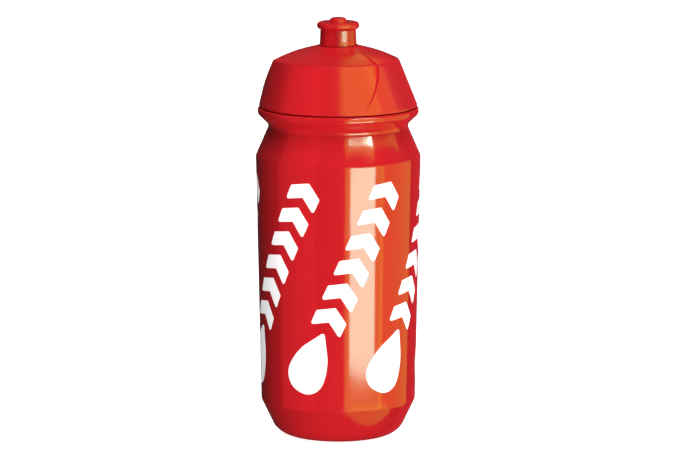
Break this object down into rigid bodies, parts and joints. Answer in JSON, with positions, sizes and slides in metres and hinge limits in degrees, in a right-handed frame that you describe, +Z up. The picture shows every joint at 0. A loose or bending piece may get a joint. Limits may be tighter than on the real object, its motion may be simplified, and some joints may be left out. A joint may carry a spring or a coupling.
{
  "type": "sports squeeze bottle",
  "caption": "Round squeeze bottle with a bevelled foot, a grip groove under a swirled screw cap, and a push-pull drinking nozzle that a pin seals.",
  "frame": {"origin": "centre of the foot, on the surface that the bottle stands on", "axes": "+Z up, from the foot to the nozzle; the front is -Y and +X is to the right of the front"},
  "size_m": [0.074, 0.074, 0.189],
  "materials": {
    "bottle_body": "glossy blow-moulded soft polyethylene, red",
    "screw_cap": "satin injection-moulded polypropylene, red",
    "gasket": "matt silicone, off-white",
    "flow_post": "satin injection-moulded polypropylene, red",
    "nozzle_core": "semi-gloss injection-moulded polypropylene, red",
    "nozzle_sleeve": "glossy soft thermoplastic elastomer, red",
    "print_ink": "screen-printed white ink on the bottle's wall"
  },
  "bodies": {
    "bottle": {"bottle_body": "bottle_body"},
    "seal": {"cap_gasket": "gasket"},
    "cap": {"screw_cap": "screw_cap", "flow_post": "flow_post"},
    "nozzle": {"nozzle_core": "nozzle_core", "nozzle_sleeve": "nozzle_sleeve"}
  },
  "joints": [
    {"name": "cap_rise", "type": "slide", "parent": "bottle", "child": "seal", "axis": [0, 0, 1], "range_m": [0, 0.0126]},
    {"name": "cap_turn", "type": "hinge", "parent": "seal", "child": "cap", "pos_m": [0, 0, 0.1545], "axis": [0, 0, 1], "range_deg": [0, 900]},
    {"name": "nozzle_pull", "type": "slide", "parent": "cap", "child": "nozzle", "axis": [0, 0, 1], "range_m": [0, 0.0054]}
  ],
  "couplings": [
    {"joint": "cap_rise", "follows": "cap_turn", "m_per_rad": 0.00079577}
  ]
}
